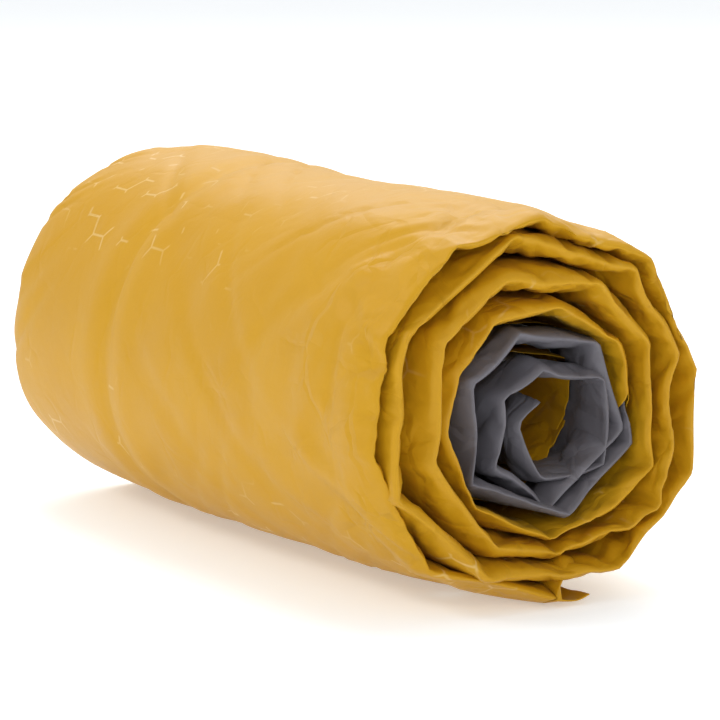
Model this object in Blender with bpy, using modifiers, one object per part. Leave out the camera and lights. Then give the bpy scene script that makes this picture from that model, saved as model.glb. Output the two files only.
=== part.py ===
"""An inflatable sleeping pad, deflated, folded in half lengthwise and rolled up.

Run with: blender --background --python part.py

Metres, +Z up. The roll lies along X, with the fold of the pad at its +X end and the pad's two long
edges at its -X end. It stands on a flat that its own weight presses into its underside, at z = 0, and
the origin is under the roll's axis, half way along. Seen from +X, the pad winds outwards
anticlockwise, and its head end comes out from under the roll towards +Y.
"""

import math

import bmesh
import bpy
from mathutils import Matrix, Vector

# The pad and its roll
PAD_WIDTH = 0.560
ROLL_LENGTH = PAD_WIDTH / 2
ROLL_RADIUS = 0.0715
CORE_RADIUS = 0.0125
TURN_PITCH = 0.0086
SHEET = 0.0005
BATTING = 0.0009
BAFFLE = 0.0004
GAP = 0.0003
WELD_BAND = 0.012
CORNERS_DEG = (92, 122, 152, 182, 216, 250, 274, 322)
FLAT_FROM_DEG, FLAT_TO_DEG = 250, 274
# How far below the axis the flat underside is, as a share of the round's radius
FLATNESS = 0.966

# The foot end, whose near edge is turned grey side out at the core of the roll
FOOT_TURNS = 2.2
FOOT_SETBACK = 0.034

# The baffle walls between the top and bottom sheets, from the pad's long edge
BAFFLE_FIRST = 0.084
BAFFLE_STEP = 0.056
BAFFLES_PER_HALF = 4
BAFFLE_WIDTH = 0.024

# The welded hems: the head end's sticks out from under the roll, and the foot end's is in its core
HEM_LENGTH = 0.011
FOOT_HEM_LENGTH = 0.012
FOOT_HEM_TURN_DEG = 30
HEM_THICKNESS = 0.0010
HEM_MOUTH = 0.0014
HEM_HINGE_GAP = 0.0010

# The flat valve: sizes from its axis, heights from the top sheet's outer face
VALVE_FROM_EDGE = 0.039
VALVE_AT_DEG = 38
VALVE_TURNS_IN = 0.7
FLANGE_MARGIN = 0.0025
FLANGE_RADIUS = 0.022
FLANGE_THICKNESS = 0.0008
NECK_RADIUS = 0.015
NECK_HEIGHT = 0.0060
NECK_BORE_RADIUS = 0.0125
LEDGE_RADIUS = 0.0105
PATCH_RADIUS = 0.020
PATCH_THICKNESS = 0.0003
COLLAR_FLANGE_RADIUS = 0.016
COLLAR_FLANGE = 0.0012
COLLAR_BORE_RADIUS = 0.0076
PLUG_CLEARANCE = 0.0003
PLUG_TAPER = 0.0006
SPIDER_THICKNESS = 0.0010
SPOKE_WIDTH = 0.0016
SPOKES = 4
CAP_RADIUS = 0.012
CAP_FLANGE = 0.0016
CAP_PLUG_DEPTH = 0.0044
CAP_PLUG_WALL = 0.0018
CAP_TAB_REACH = 0.0040
FLAP_RADIUS = 0.0090
FLAP_THICKNESS = 0.0007
FLAP_TRAVEL = 0.0009
STEM_RADIUS = 0.0009
SEAL_THICKNESS = 0.0014
CAP_SEAL_THICKNESS = 0.0009
BAR_RADIUS = 0.0008
EYE_WALL = 0.0007
EYE_CLEARANCE = 0.0002
LUG_ROOT = 0.0015
COLLAR_HINGE_INSET = 0.0012
STRAP_THICKNESS = 0.0010
CHEEK_THICKNESS = 0.0014
COLLAR_STRAP_WIDTH = 0.0060
CAP_STRAP_WIDTH = 0.0048
CAP_ROOT = 0.0010
# A strap's band and web are a little narrower than its eye, so that no two faces are level
BAND_SHARE = 0.86
WEB_SHARE = 0.94
EYE_SHARE = 0.85
WEB_REACH = 0.7
WEB_DROP = 0.5
ROUND_STEPS = 32
STEP = 0.0002

# What follows from those sizes
NEAR_X = ROLL_LENGTH / 2
FAR_X = -ROLL_LENGTH / 2
GREY_MID = GAP + SHEET / 2
BAFFLE_MID = GREY_MID + SHEET / 2 + GAP + BAFFLE / 2
BATTING_MID = BAFFLE_MID + BAFFLE / 2 + GAP + BATTING / 2
YELLOW_MID = BATTING_MID + BATTING / 2 + GAP + SHEET / 2
FOLDED_HALF = YELLOW_MID + SHEET / 2
FOLD_X = NEAR_X - FOLDED_HALF
END_RADIUS = ROLL_RADIUS - FOLDED_HALF
AXIS_Z = (END_RADIUS + YELLOW_MID) * FLATNESS + SHEET / 2
FOOT_X = NEAR_X - FOOT_SETBACK
VALVE_X = FAR_X + VALVE_FROM_EDGE
EYE_RADIUS = BAR_RADIUS + EYE_CLEARANCE + EYE_WALL
VALVE_FACET_RADIUS = ROLL_RADIUS - VALVE_TURNS_IN * TURN_PITCH
VALVE_FACET_HALF = math.degrees(math.asin((FLANGE_RADIUS + FLANGE_MARGIN) / VALVE_FACET_RADIUS))
VALVE_FACET_DEG = (VALVE_AT_DEG - VALVE_FACET_HALF, VALVE_AT_DEG + VALVE_FACET_HALF)
STATIONS_DEG = (*VALVE_FACET_DEG, *CORNERS_DEG)


def new_material(name, colour, roughness):
    """A plain finish for one kind of piece."""
    material = bpy.data.materials.new(name)
    material.use_nodes = True
    shader = material.node_tree.nodes["Principled BSDF"]
    shader.inputs["Base Color"].default_value = (*colour, 1)
    shader.inputs["Roughness"].default_value = roughness
    shader.inputs["Metallic"].default_value = 0.0
    return material


def add_mesh(name, mesh, collection, material=None):
    """One object for one piece, or for one helper when it has no material."""
    piece = bpy.data.objects.new(name, mesh)
    collection.objects.link(piece)
    if material:
        mesh.materials.append(material)
    else:
        piece.hide_render = True
        piece.display_type = "WIRE"
    return piece


def roll_stations():
    """The roll's corners from the core to the head end, as (angle, radius of the folded pad's middle).

    The radius grows evenly along each turn, but not across the flat underside. There each turn's two
    corners are as far out as puts its outer face level, at the same share of its radius below the axis.
    """
    growing = 360 - (FLAT_TO_DEG - FLAT_FROM_DEG)
    index = STATIONS_DEG.index(FLAT_TO_DEG)
    radius = END_RADIUS
    found = []
    while radius >= CORE_RADIUS:
        degrees = STATIONS_DEG[index]
        angle = math.radians(degrees)
        corner = radius
        if degrees in (FLAT_FROM_DEG, FLAT_TO_DEG):
            corner = (radius + YELLOW_MID) * FLATNESS / abs(math.sin(angle)) - YELLOW_MID
        found.append((angle, corner))
        index = (index - 1) % len(STATIONS_DEG)
        before = STATIONS_DEG[index]
        if before != FLAT_FROM_DEG:
            radius -= TURN_PITCH * ((degrees - before) % 360) / growing
    return found[::-1]


def axis_offset():
    """How far the roll's axis is from the middle of the roll's width."""
    last_turn = roll_stations()[-len(STATIONS_DEG):]
    sides = [(radius + FOLDED_HALF) * math.cos(angle) for angle, radius in last_turn]
    return -(min(sides) + max(sides)) / 2


AXIS_Y = axis_offset()


def on_roll(angle, radius, x):
    """A point at this angle and radius about the roll's axis."""
    return Vector((x, AXIS_Y + radius * math.cos(angle), AXIS_Z + radius * math.sin(angle)))


def fold_profile(reach, steps, centre=FOLD_X):
    """A half circle round the fold, as (x, offset from the folded pad's middle)."""
    turns = [math.pi / 2 - math.pi * i / steps for i in range(steps + 1)]
    return [(centre + reach * math.cos(t), reach * math.sin(t)) for t in turns]


def mirrored(leg, fold):
    """The whole section of a folded layer, from one leg and its fold."""
    return leg + fold + [None if p is None else (p[0], -p[1]) for p in reversed(leg)]


def rolled_sheet(name, stations, sections, thickness, collection, material):
    """A layer of the roll: an open surface through one section for each station, thickened.

    A section is a list of (x, offset from the folded pad's middle), with None where the layer is
    cut away.
    """
    form = bmesh.new()
    rows = [
        [p and form.verts.new(on_roll(angle, radius + p[1], p[0])) for p in section]
        for (angle, radius), section in zip(stations, sections)
    ]
    for row, after in zip(rows, rows[1:]):
        for i in range(len(row) - 1):
            corners = [row[i], row[i + 1], after[i + 1], after[i]]
            if None not in corners:
                form.faces.new(corners)
    mesh = bpy.data.meshes.new(name)
    form.to_mesh(mesh)
    form.free()
    piece = add_mesh(name, mesh, collection, material)
    shell = piece.modifiers.new("thickness", "SOLIDIFY")
    shell.thickness = thickness
    shell.offset = 0
    shell.use_even_offset = True
    shell.use_quality_normals = True
    return piece


def foot_rows(stations):
    """How many stations the turned foot end takes."""
    return round(FOOT_TURNS * len(STATIONS_DEG))


def build_top_sheet(stations, collection, material):
    """The face fabric, folded round the near end; its fold is cut back round the foot end."""
    leg = [(FAR_X, YELLOW_MID), (FOOT_X, YELLOW_MID)]
    fold = fold_profile(YELLOW_MID, 4)
    foot = foot_rows(stations)
    sections = [
        mirrored(leg, [None] * len(fold) if i < foot else fold) for i in range(len(stations))
    ]
    return rolled_sheet("top_sheet", stations, sections, SHEET, collection, material)


def build_bottom_sheet(stations, collection, material):
    """The base fabric. It meets the top sheet along the far edges, and turns out round the foot end."""
    weld = YELLOW_MID - SHEET - GAP
    foot = foot_rows(stations)
    inside = NEAR_X - SHEET / 2
    sections = []
    for i in range(len(stations)):
        turned = i < foot
        reach = YELLOW_MID if turned else GREY_MID
        leg = [
            (FAR_X, weld),
            (FAR_X + WELD_BAND, GREY_MID),
            (FOOT_X, GREY_MID),
            (FOOT_X + reach + GAP, reach),
        ]
        sections.append(mirrored(leg, fold_profile(reach, 2, inside - reach if turned else FOLD_X)))
    return rolled_sheet("bottom_sheet", stations, sections, SHEET, collection, material)


def build_batting(stations, collection, material):
    """The insulation that lies against the top sheet, inside the welded edges."""
    leg = [(FAR_X + WELD_BAND + BATTING, BATTING_MID), (FOOT_X - BATTING, BATTING_MID)]
    fold = fold_profile(BATTING_MID, 2)
    foot = foot_rows(stations)
    inner = stations[1:-1]
    sections = [
        mirrored(leg, [None] * len(fold) if i < foot else fold) for i in range(1, len(stations) - 1)
    ]
    return rolled_sheet("insulation_layer", inner, sections, BATTING, collection, material)


def build_baffles(stations, collection, material):
    """The walls that join the sheets, one strip each, lying flat between them."""
    for half, side in (("outer", 1), ("inner", -1)):
        for number in range(1, BAFFLES_PER_HALF + 1):
            middle = FAR_X + BAFFLE_FIRST + BAFFLE_STEP * (number - 1)
            near = middle + BAFFLE_WIDTH / 2
            first = 1 if near < FOOT_X - BATTING else foot_rows(stations) + 1
            section = [
                (middle - BAFFLE_WIDTH / 2, side * BAFFLE_MID),
                (min(near, FOLD_X), side * BAFFLE_MID),
            ]
            rows = stations[first:-1]
            name = f"baffle_{half}_half_{number}"
            rolled_sheet(name, rows, [section] * len(rows), BAFFLE, collection, material)


def folded_strip(name, start, end, outwards, collection, material):
    """A welded hem, folded round the near end: a flat strip between two points in the YZ plane."""
    reach = (HEM_THICKNESS + HEM_MOUTH) / 2
    turn = fold_profile(reach, 4, NEAR_X - reach - HEM_THICKNESS / 2)
    profile = [(FAR_X, reach), *turn, (FAR_X, -reach)]
    form = bmesh.new()
    rows = [
        [form.verts.new(place + outwards * height + Vector((x, 0, 0))) for x, height in profile]
        for place in (start, end)
    ]
    for i in range(len(profile) - 1):
        form.faces.new((rows[0][i], rows[0][i + 1], rows[1][i + 1], rows[1][i]))
    mesh = bpy.data.meshes.new(name)
    form.to_mesh(mesh)
    form.free()
    piece = add_mesh(name, mesh, collection, material)
    shell = piece.modifiers.new("thickness", "SOLIDIFY")
    shell.thickness = HEM_THICKNESS
    shell.offset = 0
    shell.use_even_offset = True
    return piece


def build_hems(stations, collection, material):
    """The head end's hem, lying on the ground, and the foot end's, bent in across the core."""
    hinge_y, hinge_z = hem_hinge()
    start = Vector((0, hinge_y + HEM_HINGE_GAP, hinge_z))
    folded_strip(
        "head_end_hem", start, start + Vector((0, HEM_LENGTH, 0)), Vector((0, 0, 1)), collection, material
    )
    angle, radius = stations[0]
    heading = angle - math.pi / 2 - math.radians(FOOT_HEM_TURN_DEG)
    along = Vector((0, math.cos(heading), math.sin(heading)))
    outwards = Vector((0, -along.z, along.y))
    start = on_roll(angle, radius, 0) + along * (HEM_THICKNESS + HEM_HINGE_GAP)
    folded_strip("foot_end_hem", start, start + along * FOOT_HEM_LENGTH, outwards, collection, material)


def hem_hinge():
    """The line along X that the hem lifts about, as (y, z)."""
    angle, radius = roll_stations()[-1]
    last_corner = on_roll(angle, radius + FOLDED_HALF, 0).y
    return last_corner + GAP, HEM_THICKNESS + HEM_MOUTH / 2


def valve_place(stations):
    """The valve's own frame, at the facet's middle: +Z out of the roll and +Y towards its far end."""
    wanted = [math.radians(d) for d in VALVE_FACET_DEG]
    last = {angle: radius for angle, radius in stations if angle in wanted}
    low, high = (on_roll(a, last[a] + YELLOW_MID, VALVE_X) for a in wanted)
    upwards = (high - low).normalized()
    outwards = upwards.cross(Vector((1, 0, 0)))
    middle = (low + high) / 2 + outwards * SHEET / 2
    columns = (-upwards, Vector((-1, 0, 0)), outwards)
    return Matrix.Translation(middle) @ Matrix(columns).transposed().to_4x4()


def turned(name, profile, collection, material=None, steps=ROUND_STEPS):
    """A round piece from a closed profile of (radius, height), its outer side drawn downwards."""
    form = bmesh.new()
    corners = [form.verts.new((radius, 0, height)) for radius, height in profile]
    pairs = list(zip(corners, corners[1:]))
    if profile[0][0] > 0:
        pairs.append((corners[-1], corners[0]))
    for pair in pairs:
        form.edges.new(pair)
    mesh = bpy.data.meshes.new(name)
    form.to_mesh(mesh)
    form.free()
    piece = add_mesh(name, mesh, collection, material)
    screw = piece.modifiers.new("turn", "SCREW")
    screw.steps = steps
    screw.render_steps = steps
    screw.use_merge_vertices = True
    screw.merge_threshold = 0.00001
    return piece


def block(name, low, high, collection):
    """A helper box between two corners."""
    form = bmesh.new()
    bmesh.ops.create_cube(form, size=1)
    size = Vector(high) - Vector(low)
    middle = (Vector(high) + Vector(low)) / 2
    bmesh.ops.transform(form, verts=form.verts, matrix=Matrix.Diagonal((*size, 1)))
    bmesh.ops.translate(form, verts=form.verts, vec=middle)
    mesh = bpy.data.meshes.new(name)
    form.to_mesh(mesh)
    form.free()
    return add_mesh(name, mesh, collection)


def rod(name, radius, length, place, collection, axis="X", segments=16):
    """A helper cylinder, centred on a place, along X or Z."""
    form = bmesh.new()
    bmesh.ops.create_cone(
        form, cap_ends=True, segments=segments, radius1=radius, radius2=radius, depth=length
    )
    if axis == "X":
        bmesh.ops.rotate(form, verts=form.verts, matrix=Matrix.Rotation(math.pi / 2, 3, "Y"))
    bmesh.ops.translate(form, verts=form.verts, vec=place)
    mesh = bpy.data.meshes.new(name)
    form.to_mesh(mesh)
    form.free()
    return add_mesh(name, mesh, collection)


def combine(piece, helpers, operation):
    """Joins helpers to a piece, or cuts them out of it."""
    for helper in helpers:
        step = piece.modifiers.new(helper.name, "BOOLEAN")
        step.operation = operation
        step.object = helper


def hinge_lugs(name, y, z, floor, strap_width, root_y, helpers):
    """Two cheeks with a bar between them, standing on floor and reaching back to root_y."""
    inside = strap_width / 2 + GAP
    outside = inside + CHEEK_THICKNESS
    reach = EYE_RADIUS * math.copysign(1, y)
    span = sorted((root_y, y + reach))
    top = z + BAR_RADIUS + EYE_WALL
    lugs = [
        block(f"{name}_cheek_{side}", (low, span[0], floor), (high, span[1], top), helpers)
        for side, low, high in (("a", inside, outside), ("b", -outside, -inside))
    ]
    bar = rod(f"{name}_bar", BAR_RADIUS, inside + outside, (0, y, z), helpers)
    return [*lugs, bar]


def strap(name, y, z, top, width, root_y, helpers):
    """A tether strap from root_y out to an eye on the bar at (y, z): what is joined, and the hole."""
    end = y + math.copysign(EYE_RADIUS * EYE_SHARE, y)
    span = sorted((root_y, end))
    half = width * BAND_SHARE / 2
    band = block(f"{name}_band", (-half, span[0], top - STRAP_THICKNESS), (half, span[1], top), helpers)
    half = width * WEB_SHARE / 2
    web = block(
        f"{name}_web",
        (-half, y - EYE_RADIUS * WEB_REACH, z - EYE_RADIUS * WEB_DROP),
        (half, y + EYE_RADIUS * WEB_REACH, top - STRAP_THICKNESS / 2),
        helpers,
    )
    eye = rod(f"{name}_eye", EYE_RADIUS, width, (0, y, z), helpers)
    hole = rod(f"{name}_hole", BAR_RADIUS + EYE_CLEARANCE, width * 2, (0, y, z), helpers)
    return [band, web, eye], hole


def collar_levels():
    """Heights of the deflate collar: its underside, its flange's underside and its top."""
    flange = NECK_HEIGHT + GAP
    return GAP, flange, flange + COLLAR_FLANGE


def build_valve_base(collection, helpers, material):
    """The base: a flange welded inside the top sheet, and a neck out through it."""
    under = -SHEET - GAP
    bottom = under - FLANGE_THICKNESS
    profile = [
        (NECK_BORE_RADIUS, NECK_HEIGHT),
        (NECK_RADIUS, NECK_HEIGHT),
        (NECK_RADIUS, under),
        (FLANGE_RADIUS, under),
        (FLANGE_RADIUS, bottom),
        (LEDGE_RADIUS, bottom),
        (LEDGE_RADIUS, 0),
        (NECK_BORE_RADIUS, 0),
    ]
    base = turned("valve_base", profile, collection, material)
    y, z = collar_hinge()
    floor = PATCH_THICKNESS + 2 * GAP
    root = NECK_RADIUS - LUG_ROOT
    lugs = hinge_lugs("collar_hinge", y, z, floor, COLLAR_STRAP_WIDTH, root, helpers)
    combine(base, lugs, "UNION")
    return [base, *lugs]


def collar_hinge():
    """Where the deflate collar's strap turns on the base, as (y, z) in the valve's frame."""
    return FLANGE_RADIUS - COLLAR_HINGE_INSET, NECK_HEIGHT - BAR_RADIUS - EYE_WALL - STEP


def cap_hinge():
    """Where the cap's strap turns on the collar, as (y, z) in the valve's frame."""
    _, _, top = collar_levels()
    return -(COLLAR_FLANGE_RADIUS + EYE_RADIUS + GAP), top + GAP + EYE_RADIUS


def build_collar(collection, helpers, material):
    """The wide plug that empties the pad: a collar with a seal groove, and a spider for the flap."""
    bottom, flange, top = collar_levels()
    outer = NECK_BORE_RADIUS - PLUG_CLEARANCE
    groove = outer - SEAL_THICKNESS - GAP / 2
    middle = (bottom + flange) / 2
    half = SEAL_THICKNESS / 2 + GAP
    profile = [
        (COLLAR_BORE_RADIUS, top),
        (COLLAR_FLANGE_RADIUS, top),
        (COLLAR_FLANGE_RADIUS, flange),
        (outer, flange),
        (outer - PLUG_TAPER * 0.3, middle + half),
        (groove, middle + half),
        (groove, middle - half),
        (outer - PLUG_TAPER * 0.7, middle - half),
        (outer - PLUG_TAPER, bottom),
        (COLLAR_BORE_RADIUS, bottom),
    ]
    collar = turned("deflate_collar", profile, collection, material)
    hub_height = bottom + SPIDER_THICKNESS / 2
    hub = rod("spider_hub", 3 * STEM_RADIUS, SPIDER_THICKNESS, (0, 0, hub_height), helpers, "Z", 20)
    spokes = []
    for number in range(SPOKES // 2):
        spoke = block(
            f"spider_spoke_{number}",
            (-COLLAR_BORE_RADIUS - PLUG_TAPER, -SPOKE_WIDTH / 2, bottom + SPIDER_THICKNESS * 0.1),
            (COLLAR_BORE_RADIUS + PLUG_TAPER, SPOKE_WIDTH / 2, bottom + SPIDER_THICKNESS * 0.9),
            helpers,
        )
        turn = Matrix.Rotation(2 * math.pi * number / SPOKES + math.pi / 4, 4, "Z")
        spoke.data.transform(turn)
        spokes.append(spoke)
    stem_hole = rod("stem_hole", STEM_RADIUS + GAP, NECK_HEIGHT, (0, 0, hub_height), helpers, "Z", 20)
    y, z = collar_hinge()
    joined, eye_hole = strap("collar_strap", y, z, top - STEP, COLLAR_STRAP_WIDTH, NECK_BORE_RADIUS, helpers)
    cap_y, cap_z = cap_hinge()
    root = -COLLAR_FLANGE_RADIUS + 2 * GAP
    lugs = hinge_lugs("cap_hinge", cap_y, cap_z, flange + 2 * STEP, CAP_STRAP_WIDTH, root, helpers)
    half = CAP_STRAP_WIDTH / 2 + GAP + CHEEK_THICKNESS + STEP
    shelf = block(
        "cap_hinge_shelf",
        (-half, cap_y - EYE_RADIUS - STEP, flange + STEP),
        (half, -NECK_BORE_RADIUS, top - STEP),
        helpers,
    )
    combine(collar, [*joined, shelf, *lugs, hub, *spokes], "UNION")
    combine(collar, [stem_hole, eye_hole], "DIFFERENCE")
    return [collar, *joined, shelf, *lugs, hub, *spokes, stem_hole, eye_hole]


def seal_ring(name, radius, thickness, height, collection, material):
    """A round rubber ring in its groove."""
    middle = radius - thickness / 2
    turns = [2 * math.pi * i / 8 for i in range(8)]
    profile = [
        (middle + thickness / 2 * math.sin(t), height + thickness / 2 * math.cos(t)) for t in turns
    ]
    return turned(name, profile, collection, material, steps=28)


def build_flap(collection, material):
    """The one-way flap: a soft disc under the spider, on a stem with a rounded head."""
    bottom, _, _ = collar_levels()
    face = bottom - GAP
    stop = bottom + SPIDER_THICKNESS + FLAP_TRAVEL + GAP
    head = 2 * STEM_RADIUS
    profile = [
        (0, stop + STEM_RADIUS),
        (head * 0.7, stop + STEM_RADIUS * 0.8),
        (head, stop + STEM_RADIUS * 0.3),
        (head * 0.9, stop),
        (STEM_RADIUS, stop),
        (STEM_RADIUS, face),
        (FLAP_RADIUS, face),
        (FLAP_RADIUS, face - FLAP_THICKNESS),
        (0, face - FLAP_THICKNESS),
    ]
    return turned("one_way_flap", profile, collection, material, steps=24)


def build_cap(collection, helpers, material):
    """The inflation cap: a hollow tapered plug, a finger tab and its strap."""
    _, _, seat = collar_levels()
    under = seat + GAP
    top = under + CAP_FLANGE
    outer = COLLAR_BORE_RADIUS - PLUG_CLEARANCE
    tip = under - CAP_PLUG_DEPTH
    ring_height = cap_seal_height()
    half = CAP_SEAL_THICKNESS / 2 + GAP / 2
    groove = outer - CAP_SEAL_THICKNESS
    profile = [
        (0, top),
        (CAP_RADIUS, top),
        (CAP_RADIUS, under),
        (outer, under),
        (outer, ring_height + half),
        (groove, ring_height + half),
        (groove, ring_height - half),
        (outer - PLUG_TAPER * 0.6, ring_height - half),
        (outer - PLUG_TAPER * 1.2, tip),
        (outer - PLUG_TAPER - CAP_PLUG_WALL, tip),
        (outer - PLUG_TAPER - CAP_PLUG_WALL, under),
        (0, under),
    ]
    cap = turned("inflation_cap", profile, collection, material)
    y, z = cap_hinge()
    strap_top = z + STRAP_THICKNESS / 2
    root = CAP_ROOT - CAP_RADIUS
    joined, eye_hole = strap("cap_strap", y, z, max(strap_top, top), CAP_STRAP_WIDTH, root, helpers)
    tab = block(
        "cap_tab",
        (-CAP_STRAP_WIDTH / 2, CAP_RADIUS - CAP_ROOT, top - STRAP_THICKNESS - STEP),
        (CAP_STRAP_WIDTH / 2, CAP_RADIUS + CAP_TAB_REACH, top - STEP),
        helpers,
    )
    combine(cap, [*joined, tab], "UNION")
    combine(cap, [eye_hole], "DIFFERENCE")
    return [cap, *joined, tab, eye_hole]


def cap_seal_height():
    """How high the cap's seal ring sits."""
    _, _, seat = collar_levels()
    return seat + GAP - CAP_PLUG_DEPTH * 0.35


def build_valve(stations, top_sheet, batting, collection, helpers, materials):
    """The whole valve, and the holes that it needs in the layers over and under its flange."""
    frame = bpy.data.objects.new("valve_frame", None)
    collection.objects.link(frame)
    frame.matrix_world = valve_place(stations)
    plastic, rubber, film = materials["valve"], materials["rubber"], materials["patch"]
    under = PATCH_THICKNESS + GAP
    patch_profile = [
        (NECK_RADIUS + GAP, under),
        (PATCH_RADIUS, under),
        (PATCH_RADIUS, GAP),
        (NECK_RADIUS + GAP, GAP),
    ]
    bottom, flange, _ = collar_levels()
    made = build_valve_base(collection, helpers, plastic)
    made.append(turned("valve_patch", patch_profile, collection, film))
    made += build_collar(collection, helpers, materials["collar"])
    seal_radius = NECK_BORE_RADIUS - GAP / 2
    made.append(
        seal_ring("collar_seal", seal_radius, SEAL_THICKNESS, (bottom + flange) / 2, collection, rubber)
    )
    made.append(build_flap(collection, rubber))
    made += build_cap(collection, helpers, materials["collar"])
    cap_ring = COLLAR_BORE_RADIUS - GAP / 2
    made.append(
        seal_ring("cap_seal", cap_ring, CAP_SEAL_THICKNESS, cap_seal_height(), collection, rubber)
    )
    sheet_hole = rod("sheet_hole", NECK_RADIUS + GAP, 4 * SHEET, (0, 0, 0), helpers, "Z", ROUND_STEPS)
    batting_hole = rod(
        "batting_hole", FLANGE_RADIUS + 2 * GAP, 4 * BATTING, (0, 0, -BATTING), helpers, "Z", ROUND_STEPS
    )
    combine(top_sheet, [sheet_hole], "DIFFERENCE")
    combine(batting, [batting_hole], "DIFFERENCE")
    for piece in [*made, sheet_hole, batting_hole]:
        piece.parent = frame


def main():
    """Clears the scene and builds the pad."""
    for old in list(bpy.data.objects):
        bpy.data.objects.remove(old)
    scene = bpy.context.scene.collection
    pad = bpy.data.collections.new("sleeping_pad")
    helpers = bpy.data.collections.new("helpers")
    scene.children.link(pad)
    scene.children.link(helpers)
    materials = {
        "top": new_material("mustard_fabric", (0.66, 0.37, 0.04), 0.5),
        "bottom": new_material("grey_fabric", (0.12, 0.11, 0.13), 0.5),
        "batting": new_material("white_batting", (0.80, 0.80, 0.78), 0.9),
        "baffle": new_material("clear_film", (0.75, 0.74, 0.68), 0.4),
        "valve": new_material("grey_valve_plastic", (0.08, 0.08, 0.09), 0.45),
        "collar": new_material("black_valve_plastic", (0.03, 0.03, 0.03), 0.4),
        "rubber": new_material("silicone", (0.25, 0.25, 0.26), 0.6),
        "patch": new_material("patch_film", (0.10, 0.10, 0.11), 0.5),
    }
    stations = roll_stations()
    top_sheet = build_top_sheet(stations, pad, materials["top"])
    build_bottom_sheet(stations, pad, materials["bottom"])
    batting = build_batting(stations, pad, materials["batting"])
    build_baffles(stations, pad, materials["baffle"])
    build_hems(stations, pad, materials["top"])
    build_valve(stations, top_sheet, batting, pad, helpers, materials)
    for piece in pad.objects:
        if piece.type == "MESH":
            piece.data.shade_smooth()
            piece.data.set_sharp_from_angle(angle=math.radians(40))
    bpy.context.view_layer.update()


main()
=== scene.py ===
"""The looks of a rolled-up inflatable sleeping pad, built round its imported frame.

The pad's layers all follow one winding: a crease line that spirals out from the core, with the two
halves of the folded pad on either side of it. Lengths are in metres and angles in degrees. Angles
turn from +Y towards +Z about the roll's axis, and grow towards the head end of the pad.
"""

import logging
import math
from collections.abc import Callable
from dataclasses import dataclass, field
from enum import Enum

import bmesh
import bpy
import numpy as np
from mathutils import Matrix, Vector


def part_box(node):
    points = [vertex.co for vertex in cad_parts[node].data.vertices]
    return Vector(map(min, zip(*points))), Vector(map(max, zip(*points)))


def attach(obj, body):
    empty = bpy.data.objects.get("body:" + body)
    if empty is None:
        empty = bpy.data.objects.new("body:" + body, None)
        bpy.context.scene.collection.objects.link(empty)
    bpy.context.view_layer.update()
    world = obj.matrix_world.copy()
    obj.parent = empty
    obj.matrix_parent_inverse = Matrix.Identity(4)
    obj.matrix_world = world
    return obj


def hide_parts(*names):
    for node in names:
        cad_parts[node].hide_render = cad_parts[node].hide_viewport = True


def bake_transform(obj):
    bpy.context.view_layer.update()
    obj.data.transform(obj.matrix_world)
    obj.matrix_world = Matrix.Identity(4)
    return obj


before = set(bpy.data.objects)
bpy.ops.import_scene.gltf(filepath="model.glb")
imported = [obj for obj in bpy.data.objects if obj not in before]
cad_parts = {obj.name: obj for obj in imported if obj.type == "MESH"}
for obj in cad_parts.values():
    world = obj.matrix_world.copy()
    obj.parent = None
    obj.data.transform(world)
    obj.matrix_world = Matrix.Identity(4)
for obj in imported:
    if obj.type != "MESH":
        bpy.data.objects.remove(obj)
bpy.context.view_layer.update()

LOG = logging.getLogger("sleeping_pad")
MM = 0.001
HALF_WIDTH_MM = 279.5

# Points, places along the pad and places across it, each as rows by columns.
Block = tuple[np.ndarray, np.ndarray, np.ndarray]
# A node's socket, or a plain value for one.
Value = bpy.types.NodeSocket | float | tuple[float, ...]


class Half(Enum):
    """The two halves of the pad, folded together: the outer one lies outside the inner one."""

    OUTER = 1
    INNER = -1


def smooth_step(low: float, high: float, value: np.ndarray) -> np.ndarray:
    """A smooth rise from 0 at low to 1 at high.

    Args:
        low: Where the rise starts.
        high: Where it ends.
        value: Where to read it.

    Returns:
        The height of the rise at each value.
    """
    t = np.clip((value - low) / (high - low), 0, 1)
    return t * t * (3 - 2 * t)


@dataclass(frozen=True)
class Ripple:
    """Smooth, repeatable unevenness over a sheet, between -1 and 1."""

    seed: int
    along: float
    across: float
    slant: float = 0.0
    cells: int = 61

    def at(self, s: np.ndarray, d: np.ndarray) -> np.ndarray:
        """Reads the unevenness.

        Args:
            s: Places along the pad.
            d: Places across the pad.

        Returns:
            The unevenness at each place.
        """
        table = np.random.default_rng(self.seed).uniform(-1, 1, (self.cells, self.cells))
        a, b = (s + self.slant * d) / self.along, d / self.across
        i, j = np.floor(a).astype(int), np.floor(b).astype(int)
        f, g = a - i, b - j
        f, g = f * f * (3 - 2 * f), g * g * (3 - 2 * g)
        i0, i1, j0, j1 = i % self.cells, (i + 1) % self.cells, j % self.cells, (j + 1) % self.cells
        low = table[i0, j0] * (1 - f) + table[i1, j0] * f
        high = table[i0, j1] * (1 - f) + table[i1, j1] * f
        return low * (1 - g) + high * g


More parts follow.
